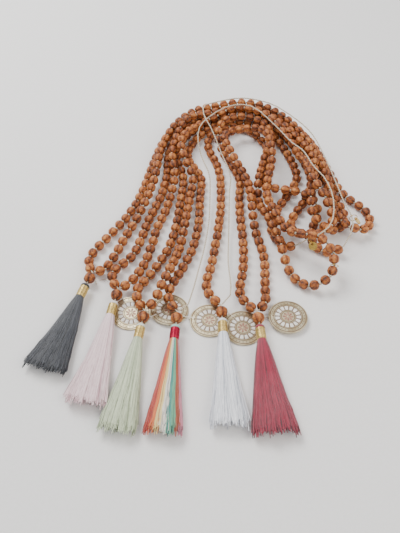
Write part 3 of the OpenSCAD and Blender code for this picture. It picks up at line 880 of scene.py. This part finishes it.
class Inlay:
    """Collects low domes that stand in a plate. Outlines are in the plate's plane, heights from its back."""

    def __init__(self, local):
        self.local, self.verts, self.faces, self.mats = local, [], [], []

    def add(self, outline, low, high, mat, dome):
        base, n = len(self.verts), len(outline)
        mid = sum((Vector((x, y, 0)) for x, y in outline), Vector()) / n
        for shrink, z in ((1.0, low), (0.96, high - 0.05 * MM), (0.8, high)):
            for x, y in outline:
                p = mid + (Vector((x, y, 0)) - mid) * shrink
                self.verts.append(self.local @ Vector((p.x, p.y, z)))
        self.verts.append(self.local @ Vector((mid.x, mid.y, high + dome)))
        for ring in (0, 1):
            for k in range(n):
                m = (k + 1) % n
                self.faces.append((base + ring * n + k, base + ring * n + m,
                                   base + (ring + 1) * n + m, base + (ring + 1) * n + k))
        for k in range(n):
            self.faces.append((base + 2 * n + k, base + 2 * n + (k + 1) % n, base + 3 * n))
        self.mats += [mat] * (3 * n)


def fill_pattern(inlay, start, unit, thick):
    """Enamel cells, petals, middle boss, rim dots and the ring round the hole, which lies towards start."""
    for i in range(CELLS):
        a = start + math.tau * (i + 0.5) / CELLS
        wide = math.tau / CELLS * 0.36
        outline = [polar(CELL_IN * unit, a - wide), polar(CELL_IN * unit, a + wide),
                   polar(CELL_OUT * unit, a + wide), polar(CELL_TIP * unit, a),
                   polar(CELL_OUT * unit, a - wide)]
        inlay.add(outline, thick - 0.2 * MM, thick - 0.02 * MM, PEARL, 0.06 * MM)
    for i in range(PETALS):
        a = start + math.tau * i / PETALS
        petal = [polar(0.5 * unit, a), polar(1.8 * unit, a - 0.32), polar(3.3 * unit, a - 0.22),
                 polar(4.1 * unit, a), polar(3.3 * unit, a + 0.22), polar(1.8 * unit, a + 0.32)]
        inlay.add(petal, thick - 0.1 * MM, thick + 0.02 * MM, ROSE, 0.06 * MM)
    inlay.add(circle(BOSS_R * unit, 12), thick - 0.1 * MM, thick + 0.08 * MM, METAL, 0.05 * MM)
    for i in range(DOTS):
        a = start + math.tau * (i + 0.5) / DOTS
        # dots leave room for the hole
        if abs((a - start + math.pi) % math.tau - math.pi) < DOT_GAP:
            continue
        x, y = polar(DOT_AT * unit, a)
        dot = [(x + dx, y + dy) for dx, dy in circle(DOT_R * unit, 8)]
        inlay.add(dot, thick - 0.1 * MM, thick + 0.03 * MM, ETCH, 0.03 * MM)
    x, y = polar(EYELET_AT * unit, start)
    for r, low, high, mat in ((EYELET_R, 0.05, 0.04, METAL), (PUPIL_R, 0.02, 0.06, ETCH)):
        outline = [(x + dx, y + dy) for dx, dy in circle(r * unit, 16)]
        inlay.add(outline, thick - low * MM, thick + high * MM, mat, 0)


def dress_medallion(name):
    """A stamped plate with etched rings, a ring of enamel cells and a rosette in the middle."""
    centre, radius, thick, side, other, up = disc_place(name + "_medallion")
    hole = Vector(joints[name + "_medallion_swing"]["pos_m"]) - centre
    start = math.atan2(hole.dot(other), hole.dot(side))
    local = Matrix((side, other, up)).transposed().to_4x4()
    local.translation = centre - up * thick

    verts, faces = lathe(medallion_profile(radius, thick), PLATE_AROUND,
                         Vector((0, 0, 0)), Vector((0, 0, 1)))
    mesh = bpy.data.meshes.new(name + "_plate")
    mesh.from_pydata([tuple(v) for v in verts], [], faces)
    plate = on_plate(name + "_plate", mesh)
    for number, face in enumerate(mesh.polygons):
        if number // PLATE_AROUND in ETCHED_STEPS:
            face.material_index = ETCH
    mesh.transform(local)
    mesh.update()

    inlay = Inlay(local)
    fill_pattern(inlay, start, radius / PLATE_R, thick)
    mesh = bpy.data.meshes.new(name + "_inlay")
    mesh.from_pydata([tuple(v) for v in inlay.verts], [], inlay.faces)
    cells = on_plate(name + "_inlay", mesh)
    mesh.polygons.foreach_set("material_index", inlay.mats)
    mesh.update()
    place(plate, name + "_disc", [name + "_medallion"], "champagne_brass")
    place(cells, name + "_disc", [], "champagne_brass")


for mala in MALAS:
    dress_medallion(mala)


# ---- tags ----

for number in (1, 2, 3):
    for part in ("tag_%d", "tag_ring_%d"):
        mesh = frame["nodes"][part % number].data
        mesh.materials.clear()
        mesh.materials.append(tag_gold)


# ---- floor, light and camera ----

def paper_floor():
    """Matte white paper with a faint grain."""
    mat, tree, shader = new_material("matte_white_paper")
    place_in = node(tree, "ShaderNodeTexCoord").outputs["Object"]
    grain = node(tree, "ShaderNodeTexNoise", {"Vector": place_in}, Scale=per_mm(2), Detail=4.0)
    colour = ramp(tree, grain.outputs[0], [(0.0, "#f1efec"), (1.0, "#faf9f7")])
    tree.links.new(colour, shader.inputs["Base Color"])
    shader.inputs["Roughness"].default_value = 0.9
    return mat


FLOOR = 3.0
floor = mesh_piece("floor", [(-FLOOR, -FLOOR, 0), (FLOOR, -FLOOR, 0), (FLOOR, FLOOR, 0), (-FLOOR, FLOOR, 0)],
                   [(0, 1, 2, 3)], paper_floor(), None, smooth=False)


def area_light(name, place_at, size, power, colour="#ffffff"):
    """A square light that faces the middle of the part."""
    data = bpy.data.lights.new(name, "AREA")
    data.size = size
    data.energy = power
    data.color = rgb(colour)[:3]
    made = linked(name, data)
    made.location = place_at
    made.rotation_euler = (-Vector(place_at)).to_track_quat("-Z", "Y").to_euler()


area_light("key", (-0.5, 0.5, 0.9), 0.6, 14)
area_light("fill", (0.7, -0.4, 0.8), 0.8, 6, "#fff6ec")
world = bpy.data.worlds.new("studio")
world.use_nodes = True
world.node_tree.nodes["Background"].inputs[0].default_value = rgb("#f4f6fa")
world.node_tree.nodes["Background"].inputs[1].default_value = 0.75
bpy.context.scene.world = world

camera_data = bpy.data.cameras.new("camera")
camera_data.lens = 41.4
camera_data.sensor_width = 36
camera_data.clip_start = 0.01
camera = linked("camera", camera_data)
camera.location = (-0.012, -0.328, 0.352)
camera.rotation_euler = (math.radians(40), 0, 0)
bpy.context.scene.camera = camera
